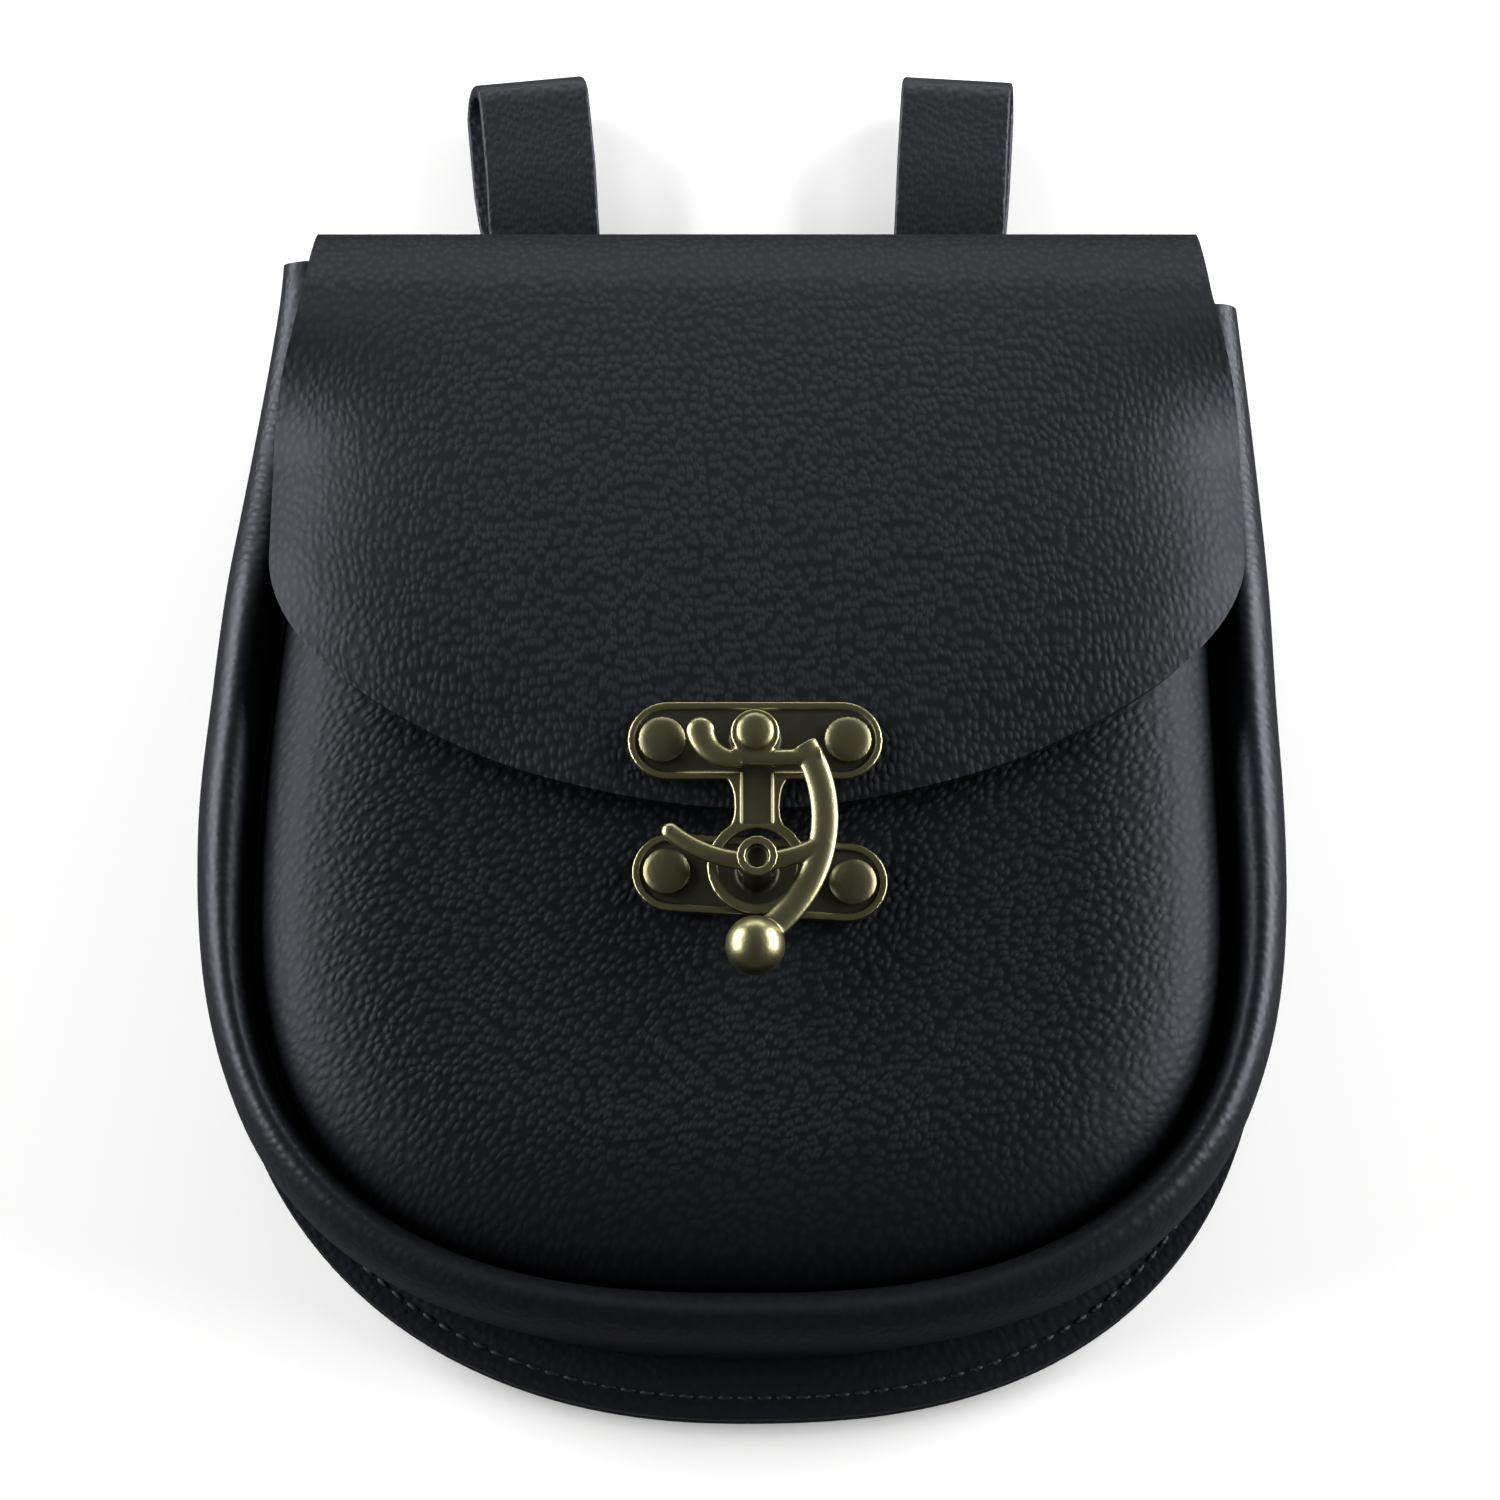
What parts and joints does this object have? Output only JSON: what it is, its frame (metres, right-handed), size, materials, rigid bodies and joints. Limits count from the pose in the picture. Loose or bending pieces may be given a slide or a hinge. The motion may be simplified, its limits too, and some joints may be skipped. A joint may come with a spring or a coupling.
{
  "type": "belt pouch",
  "caption": "Rounded leather belt pouch with a fold-over flap, a full gusset rolled round its padded front, two belt loops and a brass swing clasp whose lever turns.",
  "frame": {"origin": "on the ground under the middle of the pouch's box; the pouch lies on its back panel", "axes": "+X to the right across the front, +Y from the rounded bottom to the belt loops, +Z out of the front"},
  "size_m": [0.169, 0.2231, 0.0538],
  "materials": {
    "pebbled_leather": "black pebbled grain, semi-matt",
    "smooth_leather": "black fine grain, low sheen",
    "antique_brass": "cast, darkened in the recesses and rubbed bright on the rims"
  },
  "bodies": {
    "pouch": {"back_and_flap": "pebbled_leather", "front_panel": "pebbled_leather", "gusset": "smooth_leather", "belt_loop_left": "smooth_leather", "belt_loop_right": "smooth_leather", "upper_plate": "antique_brass", "lower_plate": "antique_brass", "pivot_rivet": "antique_brass", "upper_rivet_1": "antique_brass", "upper_rivet_2": "antique_brass", "lower_rivet_1": "antique_brass", "lower_rivet_2": "antique_brass"},
    "lever": {"swing_lever": "antique_brass"}
  },
  "joints": [
    {"name": "lever_swing", "type": "hinge", "parent": "pouch", "child": "lever", "pos_m": [0.0021, -0.015, 0.0485], "axis": [0, 0, 1], "range_deg": [0, 100]}
  ]
}
